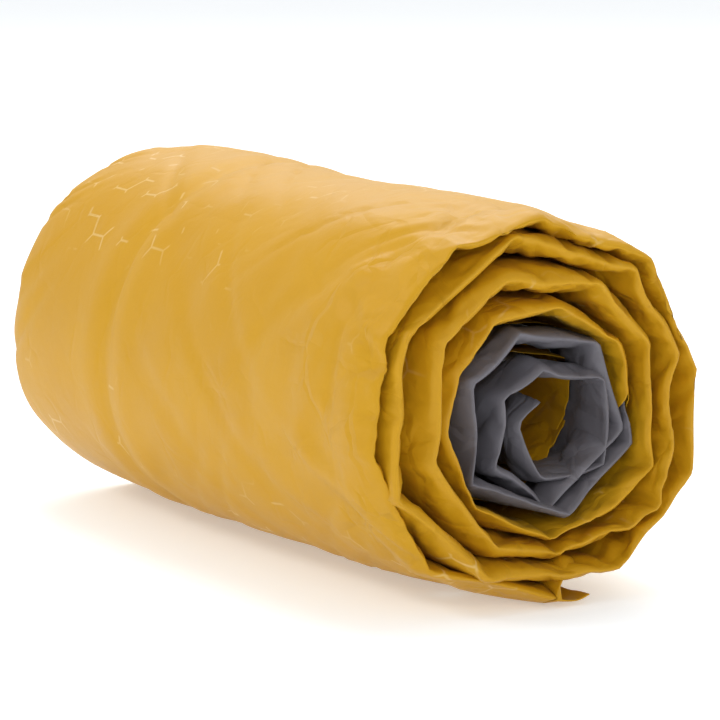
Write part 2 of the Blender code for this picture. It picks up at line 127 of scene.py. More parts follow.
@dataclass
class ValveSeat:
    """Where the valve's flange holds the fabric flat."""

    middle: Vector = field(default_factory=Vector)
    normal: Vector = field(default_factory=lambda: Vector((0, 0, 1)))
    flat_radius: float = 24 * MM
    free_radius: float = 46 * MM
    reach: float = 26 * MM
    round_radius: float = 70.5 * MM
    round_reach: float = 40 * MM
    skin: float = 1.6 * MM
    plane_height: float = 64.0 * MM
    neck_radius: float = 15.8 * MM

    @classmethod
    def from_frame(cls) -> "ValveSeat":
        """Finds the seat from the valve patch's own faces.

        Returns:
            The seat, in the frame's place.
        """
        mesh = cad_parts["valve_patch"].data
        outwards = max(mesh.polygons, key=lambda p: p.area * (p.normal.z > 0.3) * (p.normal.y > 0.3))
        corners = [v.co for v in mesh.vertices]
        middle = sum(corners, Vector()) / len(corners)
        normal = outwards.normal.normalized()
        lowest = min((v - middle).dot(normal) for v in corners)
        seat = cls(middle + normal * (lowest - 0.3 * MM), normal)
        seat.plane_height = (seat.middle - Vector((0, 0, Winding.axis_z))).dot(normal)
        return seat

    def press(self, points: np.ndarray, depth: np.ndarray, outermost: np.ndarray) -> np.ndarray:
        """Lays the fabric near the valve flat, and the turns under it down below it.

        Args:
            points: The fabric's points.
            depth: How deep each point lies under the face fabric.
            outermost: Whether each point is in the roll's outer skin.

        Returns:
            The points, moved.
        """
        normal = np.array(self.normal)
        offset = points - np.array(self.middle)
        height = offset @ normal
        aside = offset - height[:, None] * normal
        away = np.linalg.norm(aside, axis=1)
        share = (1 - smooth_step(self.flat_radius, self.free_radius, away)) * (height > -self.reach)
        around = np.minimum(np.linalg.norm(aside[:, 1:], axis=1), self.round_reach)
        round_height = np.sqrt(self.round_radius**2 - around**2)
        skin = np.maximum(round_height - self.plane_height, 0) + self.skin
        squeezed = (height + self.reach) * self.reach / (self.reach + skin) - self.reach
        wanted = np.where(outermost, -depth, np.minimum(squeezed, height))
        return points + (share * (wanted - height))[:, None] * normal


    def open_for_neck(self, piece: bpy.types.Object, radius: float, deepest: float) -> None:
        """Takes out the part of a sheet that the valve's neck goes through.

        Args:
            piece: The sheet.
            radius: The hole's radius.
            deepest: How far under the seat the hole reaches.
        """
        points = np.empty(len(piece.data.vertices) * 3, np.float32)
        piece.data.vertices.foreach_get("co", points)
        offset = points.reshape(-1, 3) - np.array(self.middle)
        height = offset @ np.array(self.normal)
        away = np.linalg.norm(offset - height[:, None] * np.array(self.normal), axis=1)
        inside = np.nonzero((away < radius) & (height > -deepest) & (height < 1 * MM))[0]
        form = bmesh.new()
        form.from_mesh(piece.data)
        form.verts.ensure_lookup_table()
        bmesh.ops.delete(form, geom=[form.verts[i] for i in inside.tolist()], context="VERTS")
        form.to_mesh(piece.data)
        form.free()


@dataclass
class Winding:
    """The way the folded pad is wound up."""

    axis_z: float = 69.1 * MM
    near_x: float = 139.5 * MM
    far_x: float = -140 * MM
    head_angle: float = 277.0
    foot_angle: float = -2035.0
    grey_angle: float = -1075.0
    row_step: float = 2.2 * MM
    setback: float = 25 * MM
    weld_band: float = 12 * MM
    side_angle: float = -42.0
    side_width: float = 30.0
    side_bulge_mm: float = 6.0
    even_x: float = -50 * MM
    loose_x: float = 90 * MM
    room_share: float = 0.46
    least_outer_room: float = 1.5 * MM
    least_inner_room: float = 2.0 * MM
    most_room: float = 6.5 * MM
    outermost_room: float = 3.2 * MM
    swell_reach: float = 5.0 * MM
    floor_gap: float = 0.35 * MM
    floor_softness: float = 2.2 * MM
    even_outside_mm: float = 66.0
    even_pitch_mm: float = 8.6
    even_first_mm: float = 1.2
    settled: "SlackFabric | None" = None
    baffle_x: tuple[float, ...] = (-56 * MM, 0.0, 56 * MM, 113 * MM)
    # How far out the crease is at each quarter turn inwards from the ground under the head end.
    quarters_mm: tuple[float, ...] = (
        65, 64, 67.5, 66.5,
        58.5, 59.5, 60, 58,
        47.5, 44, 46.5, 50,
        41.5, 34.5, 35.5, 43.5,
        37.5, 27.5, 27.5, 38.5,
        30.5, 18.5, 15.5, 26,
        22, 9.5, 10, 24,
    )
    recess_mm: tuple[float, ...] = (3.5, 0, 0.5, 2, 3.5, 6, 10)
    core_shift: tuple[float, float] = (12 * MM, -3.5 * MM)

    def __post_init__(self) -> None:
        """Works out the corners that the fabric kinks at, and the rows of the grid."""
        rng = np.random.default_rng(29)
        corners = [self.head_angle + 30]
        while corners[-1] > self.foot_angle - 60:
            grey = corners[-1] < self.grey_angle
            corners.append(corners[-1] - (rng.uniform(50, 74) if grey else rng.uniform(30, 56)))
        self.corners = np.array(corners[::-1])
        self.corner_shift = rng.uniform(-1, 1, len(self.corners))
        self.corner_push = rng.uniform(-1, 1, len(self.corners))
        fine = np.arange(self.head_angle, self.foot_angle, -0.25)
        arc = np.concatenate([[0], np.cumsum(self.crease(fine)[:-1] * math.radians(0.25))])
        self.length = float(arc[-1])
        self.row_s = np.linspace(0, self.length, int(self.length / self.row_step))
        self.row_angle = np.interp(self.row_s, arc, fine)
        self.corner_s = np.interp(-self.corners, -fine, arc)

    def crease(self, angle: np.ndarray) -> np.ndarray:
        """How far out the crease line is.

        Args:
            angle: Angles along the winding.

        Returns:
            The crease's distance from the axis.
        """
        knots = np.array(self.quarters_mm) * MM
        place = np.clip((270 - angle) / 90, 0, len(knots) - 1.001)
        i = np.floor(place).astype(int)
        t = place - i
        last = len(knots) - 1
        a, b, c, d = (knots[np.clip(i + n, 0, last)] for n in (-1, 0, 1, 2))
        square = (2 * a - 5 * b + 4 * c - d) * t**2
        cube = (3 * b - a - 3 * c + d) * t**3
        found = 0.5 * (2 * b + (c - a) * t + square + cube)
        bulge = self.bulge(angle, self.side_angle, self.side_width)
        return found + bulge * self.side_bulge_mm * MM * smooth_step(-1000, -800, angle)

    @staticmethod
    def bulge(angle: np.ndarray, middle: float, width: float) -> np.ndarray:
        """A smooth bulge of every turn on one side of the roll.

        Args:
            angle: Angles along the winding.
            middle: The side that bulges.
            width: How wide the bulge is.

        Returns:
            The bulge's height at each angle, up to 1.
        """
        away = (angle - middle + 180) % 360 - 180
        return np.exp(-((away / width) ** 2))

    def even_crease(self, angle: np.ndarray) -> np.ndarray:
        """How far out the crease would be further along the roll, where the turns lie evenly.

        Args:
            angle: Angles along the winding.

        Returns:
            The distance from the axis.
        """
        turns = (270 - angle) / 360
        first = self.even_first_mm * np.clip(turns, 0, 0.75)
        inwards = self.even_pitch_mm * np.maximum(turns - 0.75, 0) + first
        return (np.maximum(self.even_outside_mm - inwards, 9) + 2.2 * self.bulge(angle, 205, 50)) * MM

    def setback_at(self, angle: np.ndarray) -> np.ndarray:
        """How far back the face fabric's near edge is, which is only round the foot end.

        Args:
            angle: Angles along the winding.

        Returns:
            The distance from the fold to the edge.
        """
        edge = 1 + 0.25 * np.sin(np.radians(angle * 1.7))
        return self.setback * edge * (1 - smooth_step(self.grey_angle - 26, self.grey_angle, angle))

    def points(
        self, angle: np.ndarray, s: np.ndarray, d: np.ndarray, half: Half, depth: np.ndarray
    ) -> np.ndarray:
        """Places one layer of one half of the pad.

        Args:
            angle: Each point's angle along the winding.
            s: Each point's distance along the pad.
            d: Each point's distance from the fold.
            half: Which half of the folded pad.
            depth: How deep the layer lies under the face fabric.

        Returns:
            One point in each row.
        """
        # A deeper layer's fold lies inside the face's, and has the same dents at the same x.
        apart = d
        d = d + np.clip(depth, 0, None) * np.exp(-d / (40 * MM)) * 1.1
        x_share = smooth_step(self.even_x, self.loose_x, self.near_x - d)
        crease = self.crease(angle) * x_share + self.even_crease(angle) * (1 - x_share)
        outside = self.crease(angle + 360) * x_share + self.even_crease(angle + 360) * (1 - x_share)
        inside = self.crease(angle - 360) * x_share + self.even_crease(angle - 360) * (1 - x_share)
        outermost = smooth_step(-95, -75, angle)
        grey = 1 - smooth_step(self.grey_angle - 20, self.grey_angle + 20, angle)
        # The fold is crisp at the crease and swells to fill the gap between its neighbours.
        outer_room = np.clip(self.room_share * (outside - crease), self.least_outer_room, self.most_room)
        outer_room = outer_room * (1 - outermost) + self.outermost_room * outermost
        inner_room = np.clip(self.room_share * (crease - inside), self.least_inner_room, self.most_room)
        room = outer_room if half is Half.OUTER else inner_room
        swell = 1 - np.exp(-((d / self.swell_reach) ** 0.8))
        offset = np.maximum(room * swell - depth, 0.12 * MM * (1 - np.exp(-apart / MM)))
        # Near the fold the hidden layers lie in the middle, clear of the face's dents.
        hidden = np.clip(depth / (1.4 * MM), 0, 1)
        middle = hidden * (1 - smooth_step(44 * MM, 60 * MM, d))
        offset = offset * (1 - middle) + (0.12 + 0.05 * (depth < 2 * MM)) * room * swell * middle
        # The far edges are welded, so the two halves close up there.
        offset *= 1 - 0.55 * np.exp(-(self.near_x - d - self.far_x) / (10 * MM))
        radius = crease + half.value * offset
        radius += self.flats(angle, d, grey, radius)
        puckers = self.puckers(s, d, half) * (1 - middle)
        radius += half.value * np.maximum(puckers, -0.35 * offset)
        radius += self.waves(s, d, half, outermost, grey)
        x = self.places_along(angle, s, d)
        moved = np.zeros((len(s), 3))
        if self.settled:
            with_fold = self.settled.at(s, 0 * d) * np.exp(-((d / (7 * MM)) ** 2))[:, None]
            moved = self.settled.at(s, d * half.value)
            moved += hidden[:, None] * (with_fold - moved)
        x += moved[:, 0]
        turn = np.radians(angle)
        core = (1 - smooth_step(-1900, -1250, angle)) * np.exp(-((d / (150 * MM)) ** 2))
        y = radius * np.cos(turn) + moved[:, 1] + self.core_shift[0] * core
        z = self.axis_z + radius * np.sin(turn) + moved[:, 2] + self.core_shift[1] * core
        return np.column_stack([x, y, self.kept_up(z, depth, outermost)])

    def places_along(self, angle: np.ndarray, s: np.ndarray, d: np.ndarray) -> np.ndarray:
        """Places the fabric along the roll, with its uneven edges at both ends.

        Args:
            angle: Angles along the winding.
            s: Distances along the pad.
            d: Distances from the fold.

        Returns:
            Each place's x.
        """
        x = self.near_x - d
        near = np.exp(-d / (30 * MM))
        turns = (self.head_angle - angle) / 360
        x -= np.interp(turns, range(len(self.recess_mm)), self.recess_mm) * MM * np.exp(-d / (90 * MM))
        x += np.interp(angle, self.corners, self.corner_shift) * 3.2 * MM * near
        x += Ripple(5, 19 * MM, 40 * MM).at(s, d) * 1.1 * MM * near
        far = np.exp(-(x - self.far_x) / (9 * MM))
        x += Ripple(6, 26 * MM, 40 * MM).at(s, d) * 1.4 * MM * far
        return x

    def kept_up(self, z: np.ndarray, depth: np.ndarray, outermost: np.ndarray) -> np.ndarray:
        """Keeps the fabric above the floor, and presses the outer turn softly flat on it.

        Args:
            z: The fabric's heights.
            depth: How deep each point lies under the face fabric.
            outermost: How far each point is in the outermost turn.

        Returns:
            The heights, with the low ones raised.
        """
        lowest = self.floor_gap + depth
        soft = self.floor_softness
        sunk = math.log(2) * np.exp(-np.maximum(z - lowest, 0) / soft)
        lifted = lowest + soft * np.logaddexp(0, (z - lowest) / soft) - soft * sunk
        return np.where((outermost > 0) | (z < lowest), np.maximum(lifted, lowest), z)

    def flats(self, angle: np.ndarray, d: np.ndarray, grey: np.ndarray, radius: np.ndarray) -> np.ndarray:
        """The flats between the fabric's corners near the fold.

        Args:
            angle: Angles along the winding.
            d: Distances from the fold.
            grey: How far into the turned foot end each place is.
            radius: Each place's radius without the flats.

        Returns:
            How much further out each place is.
        """
        right = np.clip(np.searchsorted(self.corners, angle), 1, len(self.corners) - 1)
        low, high = self.corners[right - 1], self.corners[right]
        spread = np.radians(high - low) / 2
        flat = np.cos(spread) / np.cos(np.radians(angle - (low + high) / 2))
        reach = 24 * MM + 50 * MM * grey
        share = (0.66 + 0.3 * grey) * np.exp(-d / reach)
        moved = -radius * share * (1 - flat)
        push = (1.0 + 0.9 * grey) * MM * np.exp(-d / (20 * MM))
        return moved + np.interp(angle, self.corners, self.corner_push) * push

    def puckers(self, s: np.ndarray, d: np.ndarray, half: Half) -> np.ndarray:
        """Crisp puckers that run in from the corners.

        Args:
            s: Places along the pad.
            d: Distances from the fold.
            half: Which half of the folded pad.

        Returns:
            How much further from the folded pad's middle each place is.
        """
        moved = np.zeros_like(s)
        rng = np.random.default_rng(71 + half.value)
        fade = (1 - np.exp(-d / (2.5 * MM))) * np.exp(-d / (17 * MM))
        for place in self.corner_s:
            for _ in range(2):
                slope, size = rng.uniform(-1.1, 1.1), rng.uniform(-1.9, 1.5)
                start = place + rng.uniform(-7, 7) * MM
                width = 2.0 * MM + 0.16 * d
                moved += size * MM * fade * np.exp(-np.abs(s - start - slope * d) / width)
        return moved

    def waves(
        self, s: np.ndarray, d: np.ndarray, half: Half, outermost: np.ndarray, grey: np.ndarray
    ) -> np.ndarray:
        """The soft waves of the slack fabric, and the marks that the baffles leave.

        Args:
            s: Places along the pad.
            d: Distances from the fold.
            half: Which half of the folded pad.
            outermost: How far each place is in the outermost turn.
            grey: How far into the turned foot end each place is.

        Returns:
            How much further out each place is.
        """
        near = np.exp(-d / (38 * MM))
        inner_turns = (1 - outermost) * (1 - 0.6 * grey)
        rise = Ripple(11, 24 * MM, 34 * MM).at(s, d) * 0.8 * MM * near * inner_turns
        rise += Ripple(12, 58 * MM, 70 * MM).at(s, d) * (1.3 * outermost + 0.3) * MM
        rise += Ripple(13, 22 * MM, 90 * MM, 0.7).at(s, d) * (0.6 * outermost + 0.1) * MM
        if half is Half.OUTER:
            x = self.near_x - d
            rough = 0.65 + 0.35 * Ripple(14, 22 * MM, 60 * MM).at(s, d)
            drift = Ripple(15, 45 * MM, 500 * MM).at(s, d) * 2.5 * MM
            for place, depth in zip(self.baffle_x, (2.1, 0.4, 0.5, 1.5)):
                away = np.abs(x - place - drift)
                rise -= depth * MM * np.exp(-away / (3.6 * MM)) * rough * outermost
                rise += depth * 0.5 * MM * np.exp(-((away - 13 * MM) / (9 * MM)) ** 2) * outermost
            for seed, along, across, slant in ((16, 23 * MM, 75 * MM, -0.8), (17, 17 * MM, 90 * MM, 0.9)):
                folds = np.abs(Ripple(seed, along, across, slant).at(s, d))
                some = np.clip(Ripple(seed + 3, 60 * MM, 70 * MM).at(s, d) * 1.8, 0, 1)
                rise -= np.clip(0.25 - folds, 0, None) * 4.2 * MM * some * outermost
        far = np.exp(-(self.near_x - d - self.far_x) / (10 * MM))
        rise += Ripple(18, 21 * MM, 50 * MM).at(s, d) * 1.1 * MM * far
        return rise


@dataclass
class SlackFabric:
    """The spare fabric near the fold, which buckles as the pad is rolled.

    The sheet is a net of links that are a little too long for their places. Each round moves the
    knots so that the links fit, and holds them in the room that the neighbouring turns leave.
    """

    winding: Winding
    reach: float = 60 * MM
    step: float = 2.0 * MM
    rounds: int = 420
    carry: float = 0.86
    # Each kind of link: its steps along and across, its stiffness, and whether it only pushes.
    kinds: tuple[tuple[int, int, float, bool], ...] = (
        (1, 0, 1, False), (0, 1, 1, False),
        (1, 1, 0.5, False), (1, -1, 0.5, False),
        (2, 0, 0.07, True), (0, 2, 0.07, True),
    )

    def __post_init__(self) -> None:
        """Settles the sheet."""
        reach = np.arange(0, self.reach + self.step / 2, self.step)
        sides = []
        for half in Half:
            rows, columns = np.meshgrid(self.winding.row_s, reach, indexing="ij")
            angle = np.repeat(self.winding.row_angle[:, None], len(reach), 1)
            deep = np.zeros(rows.size)
            flat = self.winding.points(angle.ravel(), rows.ravel(), columns.ravel(), half, deep)
            sides.append(flat.reshape(*rows.shape, 3))
        outer, inner = sides
        self.start = np.concatenate([outer[:, :0:-1], (outer[:, :1] + inner[:, :1]) / 2, inner[:, 1:]], 1)
        self.across = np.concatenate([reach[:0:-1], -reach])
        self.moved = self.relax() - self.start

    def links(self) -> list[tuple[int, int, np.ndarray, float, bool]]:
        """The net's links.

        Returns:
            Each kind's steps along and across, rest lengths, stiffness and whether it only pushes.
        """
        s = np.repeat(self.winding.row_s[:, None], len(self.across), 1)
        d = np.repeat(self.across[None], len(s), 0)
        away = np.abs(d)
        inner = d < 0
        outermost = (self.winding.row_angle > -80)[:, None] & ~inner
        vary = 0.25 + 2.6 * np.clip(np.abs(Ripple(61, 27 * MM, 60 * MM).at(s, d)) - 0.25, 0, None)
        vary = vary * (1 - 0.6 * outermost)
        behind = 0.085 * inner * (1 - np.exp(-away / (9 * MM)))
        along = (0.075 * np.exp(-away / (20 * MM)) + 0.008 + behind) * vary
        over = 0.060 * np.exp(-away / (26 * MM)) * vary
        made = []
        for rows, columns, stiff, push in self.kinds:
            first, second = self.pair(self.start, rows, columns)
            lengths = np.linalg.norm(second - first, axis=-1)
            grow = (along * (rows > 0) + over * (columns != 0)) / ((rows > 0) + (columns != 0))
            grow = self.pair(grow, rows, columns)[0]
            rest = lengths * (1 + grow) * (0.97 if push else 1)
            made.append((rows, columns, rest.astype(np.float32), stiff, push))
        return made

    @staticmethod
    def pair(values: np.ndarray, rows: int, columns: int) -> tuple[np.ndarray, np.ndarray]:
        """The two ends of every link of one kind, as views.

        Args:
            values: A value at each knot.
            rows: The link's steps along the pad.
            columns: The link's steps across the pad.

        Returns:
            The values at the links' first ends and at their second ends.
        """
        height, width = values.shape[:2]
        if columns < 0:
            return values[: height - rows, -columns:], values[rows:, : width + columns]
        return values[: height - rows, : width - columns], values[rows:, columns:]

    def room(self) -> tuple[np.ndarray, np.ndarray]:
        """How far each knot may go along the radius.

        Returns:
            The room inwards and the room outwards.
        """
        away = np.abs(self.across)
        fade = 1 - smooth_step(0.6 * self.reach, self.reach, away)
        narrow = np.exp(-((away / (7 * MM)) ** 2))
        radius = np.hypot(self.start[..., 1], self.start[..., 2] - self.winding.axis_z)
        thick = np.abs(radius - radius[:, len(away) // 2][:, None])
        free = (np.minimum(0.52 * thick, 3.4 * MM) + 1.0 * MM * narrow) * fade
        tight = np.broadcast_to((0.9 + 1.2 * narrow) * MM * fade, free.shape)
        outer = self.across >= 0
        return np.where(outer, free, tight), np.where(outer, tight, free)

    def relax(self) -> np.ndarray:
        """Runs the rounds.

        Returns:
            The settled knots.
        """
        place = self.start.astype(np.float32)
        s = np.repeat(self.winding.row_s[:, None], len(self.across), 1)
        d = np.repeat(self.across[None], len(s), 0)
        turn = np.radians(self.winding.row_angle)
        radial = np.stack([np.zeros_like(turn), np.cos(turn), np.sin(turn)], -1)[:, None].astype(np.float32)
        inwards, outwards = (limit.astype(np.float32) for limit in self.room())
        fine = Ripple(62, 11 * MM, 20 * MM, 0.5).at(s, d) * 0.7 * MM
        seed = fine + Ripple(63, 26 * MM, 34 * MM, -0.6).at(s, d) * 2.0 * MM
        fade = (inwards + outwards) / (inwards + outwards).max()
        place += radial * (seed * fade)[..., None].astype(np.float32)
        before = place.copy()
        links = self.links()
        start = self.start.astype(np.float32)
        sideways = (3.0 * MM * fade).astype(np.float32)
        for _ in range(self.rounds):
            move = np.zeros_like(place)
            for rows, columns, rest, stiff, push in links:
                first, second = self.pair(place, rows, columns)
                gap = second - first
                length = np.sqrt((gap * gap).sum(-1))
                share = stiff * 0.5 * (1 - rest / np.maximum(length, 1e-6))
                if push:
                    share = np.minimum(share, 0)
                gap *= share[..., None]
                low, high = self.pair(move, rows, columns)
                low += gap
                high -= gap
            following = place + move * 0.3 + (place - before) * self.carry
            before = place
            offset = following - start
            height = (offset * radial).sum(-1)
            offset -= height[..., None] * radial
            height = np.clip(height, -inwards, outwards)
            offset = np.clip(offset, -sideways[..., None], sideways[..., None])
            place = start + offset + height[..., None] * radial
        return place.astype(float)

    def at(self, s: np.ndarray, across: np.ndarray) -> np.ndarray:
        """How far the fabric has moved.

        Args:
            s: Places along the pad.
            across: Distances from the fold, negative on the inner half.

        Returns:
            The move at each place.
        """
        i = np.clip(s / self.winding.row_s[1], 0, len(self.winding.row_s) - 1.001)
        j = np.clip((self.reach - across) / self.step, 0, len(self.across) - 1.001)
        a, b = i.astype(int), j.astype(int)
        f, g = (i - a)[:, None], (j - b)[:, None]
        low = self.moved[a, b] * (1 - g) + self.moved[a, b + 1] * g
        high = self.moved[a + 1, b] * (1 - g) + self.moved[a + 1, b + 1] * g
        inside = (np.abs(across) < self.reach)[:, None]
        return (low * (1 - f) + high * f) * inside


def spaced(values: list[tuple[float, float]]) -> np.ndarray:
    """Distances from the fold, from stretches of even steps.

    Args:
        values: The end of each stretch and its step, in millimetres.

    Returns:
        The distances, in metres.
    """
    found = [0.15]
    for end, step in values:
        count = max(round((end - found[-1]) / step), 1)
        found.extend(np.linspace(found[-1], end, count + 1)[1:])
    return np.array(found) * MM


@dataclass
class Layer:
    """A layer of the rolled pad: a grid of points along the pad and across its two halves."""

    winding: Winding
    seat: ValveSeat
    name: str
    thickness: float

    def grid(
        self,
        rows: np.ndarray,
        reach: np.ndarray,
        half: Half,
        depth: float | Callable[[np.ndarray, np.ndarray], np.ndarray],
        starts: np.ndarray | None = None,
    ) -> Block:
        """Places the points of one half.

        Args:
            rows: Which of the winding's rows to use.
            reach: Distances from the fold.
            half: Which half.
            depth: How deep the layer lies, as a number or as a function of angle and distance.
            starts: How far from the fold each row's near edge is, if it isn't at the fold.

        Returns:
            The points, their places along the pad and their places across it.
        """
        wind = self.winding
        angle = np.repeat(wind.row_angle[rows][:, None], len(reach), 1)
        s = np.repeat(wind.row_s[rows][:, None], len(reach), 1)
        d = np.repeat(reach[None, :], len(rows), 0)
        if starts is not None:
            full = wind.near_x - wind.far_x
            d = starts[:, None] + d * (full - starts[:, None]) / full
        deep = depth(angle, d) if callable(depth) else np.full(d.shape, depth)
        points = wind.points(angle.ravel(), s.ravel(), d.ravel(), half, deep.ravel())
        outer_skin = (angle.ravel() > -60) & (half is Half.OUTER)
        points = self.seat.press(points, deep.ravel(), outer_skin)
        return points.reshape(*d.shape, 3), s, d * half.value

    def piece(self, blocks: list[Block], faces_between: np.ndarray | None = None) -> bpy.types.Object:
        """Joins the halves into one sheet.

        Args:
            blocks: The halves' points, places along the pad and places across it, side by side.
            faces_between: For each row, whether a face joins the first half to the second.

        Returns:
            The piece.
        """
        points = np.concatenate([b[0] for b in blocks], 1)
        s = np.concatenate([b[1] for b in blocks], 1)
        d = np.concatenate([b[2] for b in blocks], 1)
        count, width = points.shape[:2]
        index = np.arange(count * width).reshape(count, width)
        quads = np.stack([index[:-1, :-1], index[:-1, 1:], index[1:, 1:], index[1:, :-1]], -1)
        if faces_between is not None:
            seam = blocks[0][0].shape[1] - 1
            keep = np.ones(quads.shape[:2], bool)
            keep[:, seam] = faces_between[:-1] & faces_between[1:]
            quads = quads[keep]
        return self.finish_mesh(points.reshape(-1, 3), quads.reshape(-1, 4), s.ravel(), d.ravel())

    def finish_mesh(
        self, points: np.ndarray, quads: np.ndarray, s: np.ndarray, d: np.ndarray
    ) -> bpy.types.Object:
        """Makes a thick, smooth sheet with its own flat pattern as UVs.

        Args:
            points: The sheet's points.
            quads: Its faces.
            s: Each point's place along the pad.
            d: Each point's place across the pad.

        Returns:
            The piece.
        """
        mesh = bpy.data.meshes.new(self.name)
        mesh.from_pydata(points.tolist(), [], quads.tolist())
        mesh.update()
        flat = mesh.uv_layers.new(name="flat")
        corners = np.empty(len(mesh.loops), np.int32)
        mesh.loops.foreach_get("vertex_index", corners)
        flat.data.foreach_set("uv", np.column_stack([s, d])[corners].astype(np.float32).ravel())
        mesh.shade_smooth()
        piece = bpy.data.objects.new(self.name, mesh)
        bpy.context.scene.collection.objects.link(piece)
        shell = piece.modifiers.new("thickness", "SOLIDIFY")
        shell.thickness = self.thickness
        shell.offset = -1
        return piece


# ---------------------------------------------------------------------------------------- finishes


class Shader:
    """A material's node tree, with the few kinds of node that these finishes need."""

    def __init__(self, name: str) -> None:
        """Starts a material with a Principled shader.

        Args:
            name: The material's name.
        """
        self.material = bpy.data.materials.new(name)
        self.material.use_nodes = True
        self.tree = self.material.node_tree
        self.surface = self.tree.nodes["Principled BSDF"]

    def add(self, kind: str, links: dict[str | int, Value], **settings: str) -> bpy.types.ShaderNode:
        """Adds a node.

        Args:
            kind: The node's type, without its prefix.
            links: Its inputs, by name or number, as sockets or values.
            settings: Its own settings.

        Returns:
            The node.
        """
        node = self.tree.nodes.new("ShaderNode" + kind)
        for key, value in settings.items():
            setattr(node, key, value)
        for key, value in links.items():
            if isinstance(value, bpy.types.NodeSocket):
                self.tree.links.new(value, node.inputs[key])
            else:
                node.inputs[key].default_value = value
        return node

    def sum(self, operation: str, *values: Value) -> bpy.types.NodeSocket:
        """A number worked out from others, as a socket."""
        return self.add("Math", dict(enumerate(values)), operation=operation).outputs[0]

    def vector(self, operation: str, *values: Value) -> bpy.types.ShaderNode:
        """A vector worked out from others, as a node."""
        return self.add("VectorMath", dict(enumerate(values)), operation=operation)

    def mix(self, share: Value, low: Value, high: Value) -> bpy.types.NodeSocket:
        """Mixes two colours.

        Args:
            share: How much of the second colour there is.
            low: The first colour.
            high: The second colour.

        Returns:
            The mixed colour, as a socket.
        """
        node = self.tree.nodes.new("ShaderNodeMix")
        node.data_type = "RGBA"
        for socket, value in ((node.inputs[0], share), (node.inputs[6], low), (node.inputs[7], high)):
            if isinstance(value, bpy.types.NodeSocket):
                self.tree.links.new(value, socket)
            else:
                socket.default_value = value if not isinstance(value, tuple) else (*value[:3], 1)
        return node.outputs[2]

    def ramp(self, value: Value, low: float, high: float) -> bpy.types.NodeSocket:
        """A number that rises from 0 at low to 1 at high, as a socket."""
        return self.add("MapRange", {"Value": value, "From Min": low, "From Max": high}).outputs[0]

    def bump(
        self, height: Value, strength: float, distance: float, under: Value | None = None
    ) -> bpy.types.NodeSocket:
        """Turns a height into a bump.

        Args:
            height: The height.
            strength: How strong the bump is.
            distance: How high it stands where the height is 1.
            under: A bump that it lies over, if there is one.

        Returns:
            The bumped normal, as a socket.
        """
        links = {"Height": height, "Strength": strength, "Distance": distance}
        if under is not None:
            links["Normal"] = under
        return self.add("Bump", links).outputs[0]


